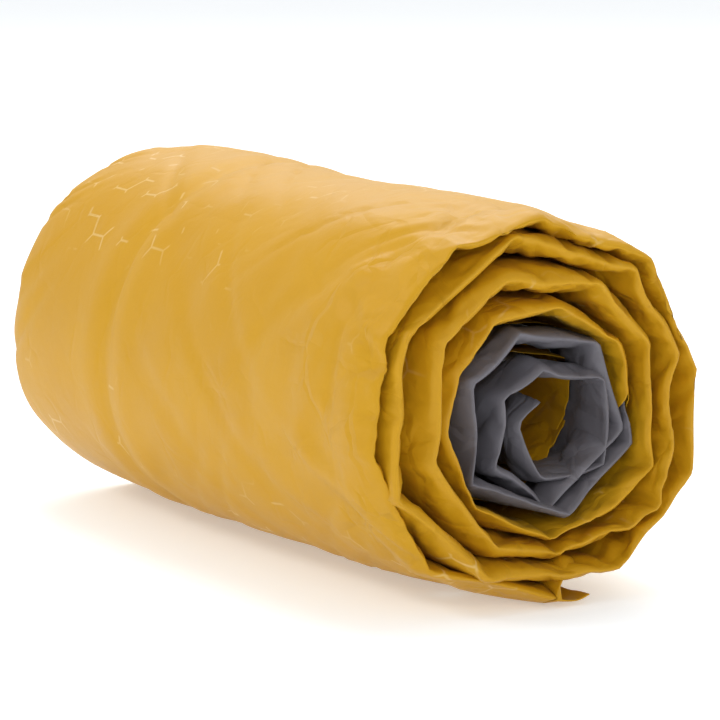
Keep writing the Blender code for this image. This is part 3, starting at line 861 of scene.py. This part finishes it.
@dataclass(frozen=True)
class CoatedFabric:
    """Thin coated nylon: a fine even weave, faint cloudiness and a soft sheen."""

    name: str
    colour: tuple[float, float, float]
    shade: tuple[float, float, float]
    roughness: float
    printed: bool = False
    thread: float = 0.45 * MM
    hexagon: float = 15 * MM

    def material(self) -> bpy.types.Material:
        """Makes the material.

        Returns:
            The material.
        """
        shader = Shader(self.name)
        place = shader.add("UVMap", {}).outputs[0]
        solid = shader.add("TexCoord", {}).outputs["Object"]
        cloud = shader.add("TexNoise", {"Vector": solid, "Scale": 26.0, "Detail": 3.0}).outputs[0]
        grain = shader.add("TexNoise", {"Vector": solid, "Scale": 900.0, "Detail": 2.0}).outputs[0]
        colour = shader.mix(shader.ramp(cloud, 0.32, 0.68), self.shade, self.colour)
        speck = shader.ramp(grain, 0.2, 0.8)
        colour = shader.mix(shader.sum("MULTIPLY", speck, 0.10), colour, tuple(c * 0.72 for c in self.shade))
        rough = shader.ramp(cloud, 0.1, 0.9)
        rough = shader.sum("ADD", shader.sum("MULTIPLY", rough, 0.12), self.roughness - 0.06)
        if self.printed:
            stroke = self.strokes(shader, place)
            colour = shader.mix(shader.sum("MULTIPLY", stroke, 0.24), colour, (0.90, 0.76, 0.42))
            rough = shader.sum("SUBTRACT", rough, shader.sum("MULTIPLY", stroke, 0.18))
        split = shader.add("SeparateXYZ", {0: place})
        turn = 2 * math.pi / self.thread
        warp = shader.sum("SINE", shader.sum("MULTIPLY", split.outputs[0], turn))
        weft = shader.sum("SINE", shader.sum("MULTIPLY", split.outputs[1], turn))
        weave = shader.bump(shader.sum("MULTIPLY", warp, weft), 0.10, 0.04 * MM)
        crumple = shader.add(
            "TexNoise", {"Vector": solid, "Scale": 95.0, "Detail": 4.0, "Roughness": 0.55, "Distortion": 0.6}
        ).outputs[0]
        normal = shader.bump(crumple, 0.14, 1.2 * MM, weave)
        normal = self.kept_creases(shader, place, normal)
        shader.tree.links.new(colour, shader.surface.inputs["Base Color"])
        shader.tree.links.new(rough, shader.surface.inputs["Roughness"])
        shader.tree.links.new(normal, shader.surface.inputs["Normal"])
        shader.surface.inputs["Specular IOR Level"].default_value = 0.22
        shader.surface.inputs["Sheen Weight"].default_value = 0.01
        shader.surface.inputs["Sheen Roughness"].default_value = 0.45
        return shader.material

    def kept_creases(self, shader: Shader, place: Value, normal: Value) -> bpy.types.NodeSocket:
        """Adds the sharp little creases that the coating keeps, most of them near the fold.

        Args:
            shader: The material's nodes.
            place: The place on the flat pad.
            normal: The normal under the creases.

        Returns:
            The creased normal, as a socket.
        """
        across = shader.sum("ABSOLUTE", shader.add("SeparateXYZ", {0: place}).outputs[1])
        near = shader.sum("SUBTRACT", 1.0, shader.ramp(across, 0.012, 0.075))
        bend = shader.add("TexNoise", {"Vector": place, "Scale": 60.0, "Detail": 2.0}).outputs[1]
        bent = shader.vector("SCALE", bend)
        bent.inputs["Scale"].default_value = 0.011
        bent = shader.vector("ADD", place, bent.outputs[0]).outputs[0]
        for cell, reach, strength in ((19 * MM, 1.0, 0.30), (43 * MM, 0.55, 0.34)):
            flat = shader.vector("MULTIPLY", bent, (1 / cell, reach / cell, 1.0)).outputs[0]
            web = shader.add("TexVoronoi", {"Vector": flat, "Scale": 1.0}, feature="DISTANCE_TO_EDGE")
            ridge = shader.ramp(web.outputs[0], 0.0, 0.11)
            some = shader.add("TexNoise", {"Vector": flat, "Scale": 0.9, "Detail": 1.0}).outputs[0]
            nearer = shader.sum("MULTIPLY_ADD", near, 0.8, 0.2)
            share = shader.sum("MULTIPLY", shader.ramp(some, 0.40, 0.62), nearer)
            height = shader.sum("MULTIPLY", ridge, share)
            normal = shader.bump(height, strength, cell * 0.10, normal)
        return normal

    def strokes(self, shader: Shader, place: Value) -> bpy.types.NodeSocket:
        """A pale, broken hexagon pattern printed on the face.

        Args:
            shader: The material's nodes.
            place: The place on the flat pad.

        Returns:
            How much of the print shows, as a socket.
        """
        cell = (1.0, math.sqrt(3), 1.0)
        half = tuple(c / 2 for c in cell)
        flat = shader.vector("SCALE", place)
        flat.inputs["Scale"].default_value = 1 / self.hexagon
        flat = shader.vector("ADD", flat.outputs[0], (500.0, 500.0, 0.0)).outputs[0]
        first = shader.vector("SUBTRACT", shader.vector("MODULO", flat, cell).outputs[0], half).outputs[0]
        moved = shader.vector("SUBTRACT", flat, half).outputs[0]
        second = shader.vector("SUBTRACT", shader.vector("MODULO", moved, cell).outputs[0], half).outputs[0]
        flatten = (1.0, 1.0, 0.0)
        first = shader.vector("MULTIPLY", first, flatten).outputs[0]
        second = shader.vector("MULTIPLY", second, flatten).outputs[0]
        nearer = shader.sum(
            "LESS_THAN", shader.vector("LENGTH", first).outputs[1], shader.vector("LENGTH", second).outputs[1]
        )
        pick = shader.add("Mix", {0: nearer}, data_type="VECTOR")
        shader.tree.links.new(second, pick.inputs[4])
        shader.tree.links.new(first, pick.inputs[5])
        away = shader.vector("ABSOLUTE", pick.outputs[1])
        split = shader.add("SeparateXYZ", {0: away.outputs[0]})
        slanted = shader.vector("DOT_PRODUCT", away.outputs[0], (0.5, 0.8660254, 0.0)).outputs[1]
        edge = shader.sum("SUBTRACT", 0.5, shader.sum("MAXIMUM", split.outputs[0], slanted))
        line = shader.sum("SUBTRACT", 1.0, shader.ramp(edge, 0.012, 0.045))
        broken = shader.add("TexNoise", {"Vector": flat, "Scale": 1.15, "Detail": 1.0}).outputs[0]
        patch = shader.add("TexNoise", {"Vector": flat, "Scale": 0.22, "Detail": 1.0}).outputs[0]
        shown = shader.sum("MULTIPLY", shader.ramp(broken, 0.53, 0.57), shader.ramp(patch, 0.50, 0.64))
        return shader.sum("MULTIPLY", line, shown)


@dataclass(frozen=True)
class Moulded:
    """Moulded plastic or silicone, with a fine spark-eroded grain and faint clouds that are lighter and
    duller.
    """

    name: str
    colour: tuple[float, float, float]
    roughness: float
    grain: float = 1400.0

    def material(self) -> bpy.types.Material:
        """Makes the material.

        Returns:
            The material.
        """
        shader = Shader(self.name)
        solid = shader.add("TexCoord", {}).outputs["Object"]
        fine = shader.add("TexNoise", {"Vector": solid, "Scale": self.grain, "Detail": 3.0}).outputs[0]
        cloud = shader.add("TexNoise", {"Vector": solid, "Scale": 90.0, "Detail": 3.0}).outputs[0]
        lighter = tuple(min(c * 1.35 + 0.004, 1) for c in self.colour)
        colour = shader.mix(shader.ramp(cloud, 0.35, 0.7), self.colour, lighter)
        rough = shader.sum("ADD", shader.sum("MULTIPLY", cloud, 0.18), self.roughness - 0.09)
        shader.tree.links.new(colour, shader.surface.inputs["Base Color"])
        shader.tree.links.new(rough, shader.surface.inputs["Roughness"])
        shader.tree.links.new(shader.bump(fine, 0.22, 0.08 * MM), shader.surface.inputs["Normal"])
        return shader.material


@dataclass(frozen=True)
class Batting:
    """Loose white fibre."""

    name: str = "white_fibre_batting"
    colour: tuple[float, float, float] = (0.80, 0.80, 0.77)

    def material(self) -> bpy.types.Material:
        """Makes the material.

        Returns:
            The material.
        """
        shader = Shader(self.name)
        solid = shader.add("TexCoord", {}).outputs["Object"]
        tuft = shader.add(
            "TexNoise", {"Vector": solid, "Scale": 320.0, "Detail": 6.0, "Distortion": 2.0}
        ).outputs[0]
        colour = shader.mix(shader.ramp(tuft, 0.3, 0.7), tuple(c * 0.8 for c in self.colour), self.colour)
        shader.tree.links.new(colour, shader.surface.inputs["Base Color"])
        shader.tree.links.new(shader.bump(tuft, 0.6, 0.5 * MM), shader.surface.inputs["Normal"])
        shader.surface.inputs["Roughness"].default_value = 0.95
        return shader.material


@dataclass
class Finishes:
    """Every finish on the pad."""

    face: CoatedFabric = CoatedFabric(
        "mustard_coated_nylon", (0.530, 0.276, 0.006), (0.508, 0.260, 0.005), 0.47, printed=True
    )
    base: CoatedFabric = CoatedFabric(
        "slate_coated_nylon", (0.150, 0.142, 0.158), (0.120, 0.113, 0.128), 0.40, thread=0.5 * MM
    )
    fibre: Batting = Batting()
    film: Moulded = Moulded("clear_baffle_film", (0.72, 0.71, 0.66), 0.4)
    valve: Moulded = Moulded("dark_grey_valve_plastic", (0.055, 0.055, 0.060), 0.46)
    collar: Moulded = Moulded("black_valve_plastic", (0.020, 0.020, 0.021), 0.42)
    patch: Moulded = Moulded("welded_patch_film", (0.075, 0.072, 0.080), 0.5, 700.0)
    rubber: Moulded = Moulded("grey_silicone", (0.22, 0.22, 0.23), 0.62, 500.0)

    def __post_init__(self) -> None:
        """Makes the materials once."""
        names = ("face", "base", "fibre", "film", "valve", "collar", "patch", "rubber")
        self.made = {name: getattr(self, name).material() for name in names}

    def put(self, piece: bpy.types.Object, name: str) -> None:
        """Gives a piece one of the finishes."""
        piece.data.materials.clear()
        piece.data.materials.append(self.made[name])


# -------------------------------------------------------------------------------------- the pieces


@dataclass
class FaceSheet:
    """The mustard face fabric, folded in half and wound up."""

    winding: Winding
    seat: ValveSeat
    thickness: float = 0.28 * MM

    def reach(self) -> np.ndarray:
        """Distances from the fold, fine near it and even over the roll's side."""
        return spaced([(3, 0.6), (12, 1.1), (44, 2.1), (266, 3.4), (HALF_WIDTH_MM, 1.7)])

    def inner_reach(self) -> np.ndarray:
        """Distances from the fold on the inner half, which shows only at the ends."""
        return spaced([(3, 0.6), (12, 1.1), (44, 2.1), (262, 18), (HALF_WIDTH_MM, 3.5)])

    def build(self) -> bpy.types.Object:
        """Builds the sheet.

        Returns:
            The piece.
        """
        layer = Layer(self.winding, self.seat, "face_sheet", self.thickness)
        rows = np.arange(len(self.winding.row_s))
        starts = self.winding.setback_at(self.winding.row_angle)
        outer = layer.grid(rows, self.reach()[::-1], Half.OUTER, 0.0, starts)
        inner = layer.grid(rows, self.inner_reach(), Half.INNER, 0.0, starts)
        piece = layer.piece([outer, inner], starts < 0.4 * MM)
        self.seat.open_for_neck(piece, self.seat.neck_radius, 1.0 * MM)
        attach(piece, "roll")
        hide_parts("top_sheet")
        return piece


@dataclass
class BaseSheet:
    """The slate base fabric, inside the fold, and turned out round the foot end."""

    winding: Winding
    seat: ValveSeat
    thickness: float = 0.28 * MM
    inside: float = 2.6 * MM
    tucked: float = 0.45 * MM

    def depth(self, angle: np.ndarray, d: np.ndarray) -> np.ndarray:
        """How deep the sheet lies: outside the face fabric round the foot end, and at its edge weld.

        Args:
            angle: Angles along the winding.
            d: Distances from the fold.

        Returns:
            The depth under the face fabric's line.
        """
        edge = self.winding.setback_at(angle)
        turned = smooth_step(2 * MM, 12 * MM, edge)
        under = smooth_step(0, 1, (d - edge + 9 * MM) / (8 * MM))
        deep = (self.inside + 0.6 * MM * (angle > -90)) * (1 - turned * (1 - under))
        weld = smooth_step(0, 1, (d - (HALF_WIDTH_MM * MM - self.winding.weld_band)) / (5 * MM))
        return deep * (1 - weld) + 0.6 * MM * weld

    def tuck_under(self, points: np.ndarray, cover: np.ndarray, half: Half) -> np.ndarray:
        """Keeps the sheet just under the face fabric, but for the turned foot end.

        Args:
            points: The sheet's points, as rows by columns by 3.
            cover: The face fabric's points over the same rows.
            half: Which half of the folded pad.

        Returns:
            The points, moved.
        """
        found = points.copy()
        angles = self.winding.row_angle
        for i in np.nonzero(self.winding.setback_at(angles) < 0.05 * MM)[0]:
            turn = math.radians(angles[i])
            out = np.array((0, math.cos(turn), math.sin(turn)))
            order = np.argsort(cover[i, :, 0])
            limit = np.interp(points[i, :, 0], cover[i, order, 0], (cover[i] @ out)[order])
            past = half.value * (points[i] @ out - limit) + self.tucked
            found[i] -= half.value * np.clip(past, 0, None)[:, None] * out
        return found

    def build(self) -> bpy.types.Object:
        """Builds the sheet.

        Returns:
            The piece.
        """
        layer = Layer(self.winding, self.seat, "base_sheet", self.thickness)
        rows = np.arange(len(self.winding.row_s))
        outside = spaced([(3, 0.8), (12, 1.3), (44, 2.4), (266, 6.8), (HALF_WIDTH_MM, 1.7)])
        inside = spaced([(3, 0.8), (12, 1.3), (44, 2.4), (262, 18), (HALF_WIDTH_MM, 3.5)])
        blocks = []
        for half, reach in ((Half.OUTER, outside[::-1]), (Half.INNER, inside)):
            points, s, d = layer.grid(rows, reach, half, self.depth)
            cover = layer.grid(rows, reach, half, 0.0)[0]
            blocks.append((self.tuck_under(points, cover, half), s, d))
        piece = layer.piece(blocks)
        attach(piece, "roll")
        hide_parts("bottom_sheet")
        return piece


@dataclass
class Filling:
    """The fibre batting and the baffle walls, between the two sheets."""

    winding: Winding
    seat: ValveSeat
    batting_depth: float = 1.5 * MM
    batting_thickness: float = 0.7 * MM
    neck_hole: float = 17.5 * MM
    baffle_depth: float = 2.3 * MM
    baffle_thickness: float = 0.25 * MM
    baffle_width: float = 24 * MM
    margin: float = 17 * MM

    def build_batting(self) -> bpy.types.Object:
        """Builds the batting, which stops short of the welded edges and the foot end's edge.

        Returns:
            The piece.
        """
        layer = Layer(self.winding, self.seat, "insulation", self.batting_thickness)
        rows = np.arange(6, len(self.winding.row_s) - 6, 2)
        starts = self.winding.setback_at(self.winding.row_angle[rows])
        last = HALF_WIDTH_MM - self.margin / MM
        reach = spaced([(9, 3), (44, 5), (last, 20)])[3:]
        outside = spaced([(9, 3), (44, 5), (last, 6)])[3:]
        outer = layer.grid(rows, outside[::-1], Half.OUTER, self.batting_depth, starts)
        inner = layer.grid(rows, reach, Half.INNER, self.batting_depth, starts)
        piece = layer.piece([outer, inner], starts < 0.4 * MM)
        self.seat.open_for_neck(piece, self.neck_hole, 3 * self.batting_depth)
        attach(piece, "roll")
        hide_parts("insulation_layer")
        return piece

    def build_baffles(self) -> list[bpy.types.Object]:
        """Builds the baffle walls, as strips lying flat.

        Returns:
            The strips.
        """
        made = []
        for half, word in ((Half.OUTER, "outer"), (Half.INNER, "inner")):
            for number, x in enumerate(self.winding.baffle_x, 1):
                layer = Layer(self.winding, self.seat, f"baffle_{word}_{number}", self.baffle_thickness)
                middle = self.winding.near_x - x
                columns = 13 if half is Half.OUTER else 5
                reach = np.linspace(middle - self.baffle_width / 2, middle + self.baffle_width / 2, columns)
                rows = np.arange(8, len(self.winding.row_s) - 8, 2)
                if number == len(self.winding.baffle_x):
                    rows = rows[self.winding.row_angle[rows] > self.winding.grey_angle + 4]
                piece = layer.piece([layer.grid(rows, reach, half, self.baffle_depth)])
                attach(piece, "roll")
                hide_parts(f"baffle_{word}_half_{number}")
                made.append(piece)
        return made


@dataclass
class HeadEnd:
    """The welded head end of the pad, its two lips open on the ground."""

    winding: Winding
    seat: ValveSeat
    face: FaceSheet
    length: float = 13.5 * MM
    steps: int = 14
    lift: float = 11 * MM
    hinge_inset: float = 1.0 * MM
    bend_before: float = 1.5 * MM
    bend_after: float = 4.5 * MM
    thickness: float = 0.45 * MM

    def lip(self, half: Half, reach: np.ndarray) -> Block:
        """Carries one half of the pad on past the end of the roll.

        Args:
            half: Which half.
            reach: Distances from the fold.

        Returns:
            Points, places along the pad and places across it.
        """
        layer = Layer(self.winding, self.seat, "lip", self.thickness)
        rows = np.array([1, 0])
        start, s, d = layer.grid(rows, reach, half, 0.0)
        first = start[1]
        out = np.linspace(0, 1, self.steps)[:, None]
        across = np.abs(d[1])[None, :]
        ripple = Ripple(31 + half.value, 12 * MM, 15 * MM).at(out * self.length, across)
        crimp = Ripple(35 + half.value, 30 * MM, 8.5 * MM).at(out * self.length, across)
        long = self.length * (1 + 0.22 * Ripple(37 + half.value, 1.0, 22 * MM).at(out * 0, across))
        rows_out = np.repeat(first[None], self.steps, 0)
        rows_out[..., 1] += out * long
        near = np.exp(-across / (30 * MM))
        if half is Half.OUTER:
            rise = out**2 * (0.9 * MM * (crimp + 1) + (0.7 + 1.6 * near) * MM * (ripple + 1))
            rows_out[..., 2] = rows_out[..., 2] * (1 - out) + (0.4 * MM + rise) * out
        else:
            open_up = np.sin(np.minimum(out * 1.5, 1) * math.pi / 2)
            rise = open_up * self.lift * (0.4 + 0.6 * near) + out * (2.2 * crimp + 1.5 * ripple) * MM
            rows_out[..., 2] += rise - 3.0 * MM * out**2
            rows_out[..., 0] -= out * 4 * MM * np.exp(-across / (8 * MM))
        along = s[:1] + np.repeat(-out * self.length, len(reach), 1)
        return rows_out, along, np.repeat(d[:1], self.steps, 0)

    def build(self) -> bpy.types.Object:
        """Builds the two lips as one piece.

        Returns:
            The piece.
        """
        layer = Layer(self.winding, self.seat, "head_end", self.thickness)
        outer = self.lip(Half.OUTER, self.face.reach()[::-1])
        reach = spaced([(3, 0.6), (12, 1.1), (44, 2.1), (266, 4.5), (HALF_WIDTH_MM, 2.2)])
        inner = self.lip(Half.INNER, reach)
        joined = np.arange(self.steps) < 3
        piece = layer.piece([outer, inner], joined)
        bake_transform(piece)
        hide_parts("head_end_hem")
        return piece


@dataclass
class FootEnd:
    """The welded foot end of the pad, in the core of the roll."""

    winding: Winding
    seat: ValveSeat
    far_inset: float = 1 * MM
    near_inset: float = 30 * MM
    rows: int = 110
    gape: float = 0.55 * MM
    thickness: float = 0.6 * MM

    def build(self) -> bpy.types.Object:
        """Builds the foot end's hem as a rippled double strip.

        Returns:
            The piece.
        """
        low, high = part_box("foot_end_hem")
        x = np.linspace(low.x + self.far_inset, high.x - self.near_inset, self.rows)
        form = []
        across = np.linspace(0, 1, 6)
        for side, order in ((1, across), (-1, across[::-1])):
            for t in order:
                ripple = Ripple(51, 24 * MM, 9 * MM).at(x, np.full_like(x, t * 12 * MM)) * 0.6 * MM
                y = low.y + t * (high.y - low.y) + 0 * x
                z = (low.z + high.z) / 2 + side * self.gape + ripple
                form.append(np.column_stack([x, y, z]))
        points = np.stack(form, 1)
        layer = Layer(self.winding, self.seat, "foot_end", self.thickness)
        s = np.repeat(x[:, None], points.shape[1], 1)
        d = np.repeat(np.linspace(0, 24 * MM, points.shape[1])[None], len(x), 0)
        piece = layer.piece([(points, s, d)])
        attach(piece, "roll")
        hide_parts("foot_end_hem")
        return piece


@dataclass
class Valve:
    """The valve's moulded pieces, which keep their own shapes."""

    finishes: Finishes
    wears: dict[str, str] = field(
        default_factory=lambda: {
            "valve_base": "valve",
            "valve_patch": "patch",
            "deflate_collar": "collar",
            "collar_seal": "rubber",
            "one_way_flap": "rubber",
            "inflation_cap": "collar",
            "cap_seal": "rubber",
        }
    )

    def dress(self) -> list[str]:
        """Gives each piece its finish.

        Returns:
            The pieces' names.
        """
        for name, finish in self.wears.items():
            self.finishes.put(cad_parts[name], finish)
        return list(self.wears)


@dataclass(frozen=True)
class Lamp:
    """A soft square light, turned to the roll."""

    name: str
    place: tuple[float, float, float]
    size: float
    watts: float
    aim_height: float = 60 * MM

    def hang(self) -> None:
        """Hangs the light."""
        lamp = bpy.data.lights.new(self.name, "AREA")
        lamp.size = self.size
        lamp.energy = self.watts
        made = bpy.data.objects.new(self.name, lamp)
        made.location = self.place
        way = Vector((0, 0, self.aim_height)) - Vector(self.place)
        made.rotation_euler = way.to_track_quat("-Z", "Y").to_euler()
        bpy.context.scene.collection.objects.link(made)


@dataclass
class Studio:
    """A pale sweep of floor, soft light and the camera."""

    lamps: tuple[Lamp, ...] = (
        Lamp("key", (-0.7, -1.5, 1.4), 0.6, 10),
        Lamp("top", (-0.2, 0.3, 1.9), 0.8, 13),
        Lamp("rim", (-1.4, 0.8, 1.5), 1.3, 17),
        Lamp("fill", (1.9, -0.7, 0.9), 1.0, 8),
    )
    floor_size: float = 6.0
    floor_colour: tuple[float, float, float] = (0.80, 0.84, 0.87)
    floor_glow: float = 0.33
    azimuth: float = 59.94
    lens: float = 187.0
    camera_place: tuple[float, float, float] = (1.2022, -0.6854, 0.2925)
    aim_height: float = 68.5 * MM
    aim_aside: float = 8.8 * MM
    # The sky's brightness falls from the third value to the fourth as it rises between the first two.
    horizon: tuple[float, float, float, float] = (0.12, 0.45, 1.0, 0.66)

    def floor(self) -> None:
        """Lays the floor."""
        mesh = bpy.data.meshes.new("floor")
        signs = ((-1, -1), (1, -1), (1, 1), (-1, 1))
        corners = [(a * self.floor_size, b * self.floor_size, 0) for a, b in signs]
        mesh.from_pydata(corners, [], [(0, 1, 2, 3)])
        floor = bpy.data.objects.new("floor", mesh)
        bpy.context.scene.collection.objects.link(floor)
        shader = Shader("white_sweep")
        shader.surface.inputs["Base Color"].default_value = (*self.floor_colour, 1)
        shader.surface.inputs["Roughness"].default_value = 0.6
        shader.surface.inputs["Emission Color"].default_value = (1, 1, 1, 1)
        shader.surface.inputs["Emission Strength"].default_value = self.floor_glow
        mesh.materials.append(shader.material)

    def sky(self, tree: bpy.types.NodeTree) -> None:
        """Makes the surroundings white round the horizon and dimmer overhead.

        Args:
            tree: The world's nodes.
        """
        back = tree.nodes["Background"]
        back.inputs[0].default_value = (1, 1, 1, 1)
        way = tree.nodes.new("ShaderNodeTexCoord")
        split = tree.nodes.new("ShaderNodeSeparateXYZ")
        rise = tree.nodes.new("ShaderNodeMapRange")
        tree.links.new(way.outputs["Generated"], split.inputs[0])
        tree.links.new(split.outputs[2], rise.inputs["Value"])
        for key, value in zip(("From Min", "From Max", "To Min", "To Max"), self.horizon):
            rise.inputs[key].default_value = value
        tree.links.new(rise.outputs[0], back.inputs[1])

    def build(self) -> None:
        """Sets up the floor, the lights and the camera."""
        self.floor()
        for lamp in self.lamps:
            lamp.hang()
        world = bpy.data.worlds.new("studio")
        world.use_nodes = True
        self.sky(world.node_tree)
        bpy.context.scene.world = world
        bpy.context.scene.view_settings.view_transform = "Standard"
        lens = bpy.data.cameras.new("camera")
        lens.lens = self.lens
        lens.sensor_width = 36
        camera = bpy.data.objects.new("camera", lens)
        camera.location = self.camera_place
        turn = math.radians(self.azimuth)
        aim = Vector((math.cos(turn), math.sin(turn), 0)) * self.aim_aside + Vector((0, 0, self.aim_height))
        camera.rotation_euler = (aim - camera.location).to_track_quat("-Z", "Y").to_euler()
        bpy.context.scene.collection.objects.link(camera)
        bpy.context.scene.camera = camera


def main() -> None:
    """Builds every piece in order."""
    logging.basicConfig(level=logging.INFO, format="%(name)s: %(message)s")
    Studio().build()
    finishes = Finishes()
    winding, seat = Winding(), ValveSeat.from_frame()
    winding.settled = SlackFabric(winding)
    LOG.info("slack fabric: moved %.2f mm on average", np.abs(winding.settled.moved).mean() / MM)
    LOG.info("winding: %.3f m of pad, valve at %s", winding.length, tuple(round(c, 4) for c in seat.middle))
    face = FaceSheet(winding, seat)
    built = [(face.build(), "face"), (BaseSheet(winding, seat).build(), "base")]
    filling = Filling(winding, seat)
    built.append((filling.build_batting(), "fibre"))
    built += [(strip, "film") for strip in filling.build_baffles()]
    built.append((HeadEnd(winding, seat, face).build(), "face"))
    built.append((FootEnd(winding, seat).build(), "face"))
    for piece, finish in built:
        finishes.put(piece, finish)
        LOG.info("%s: %d points", piece.name, len(piece.data.vertices))
    for name in Valve(finishes).dress():
        LOG.info("%s: keeps its own shape", name)


if __name__ == "__main__":
    main()
